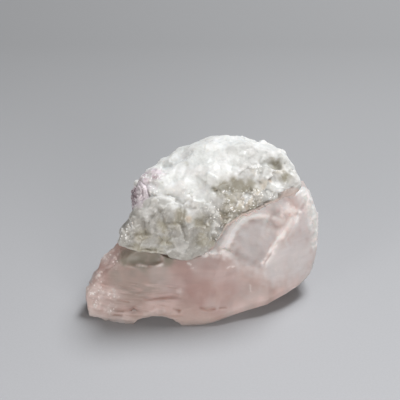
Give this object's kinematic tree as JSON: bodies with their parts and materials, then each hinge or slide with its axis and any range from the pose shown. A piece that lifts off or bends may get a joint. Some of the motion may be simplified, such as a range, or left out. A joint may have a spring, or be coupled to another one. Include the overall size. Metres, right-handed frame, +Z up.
{
  "type": "mineral specimen",
  "caption": "Rough morganite crystal: a translucent pink beryl block with stepped broken faces, capped by lumpy white albite with a patch of lilac mica.",
  "frame": {"origin": "middle of the footprint's bounding box, on the table", "axes": "+X along the specimen's length, towards its tall thick end; -Y out of the broad broken front face; +Z up"},
  "size_m": [0.0454, 0.0314, 0.0289],
  "materials": {
    "morganite": "milky translucent pink crystal, glossy on broken faces and frosted on the step edges",
    "albite": "opaque white, sugary matt with smooth bright lumps and faint tan stain",
    "lepidolite": "lilac mica with a pearly sheen"
  },
  "bodies": {
    "root": {"morganite_crystal": "morganite", "albite_cap": "albite", "lepidolite_patch": "lepidolite"}
  },
  "joints": []
}
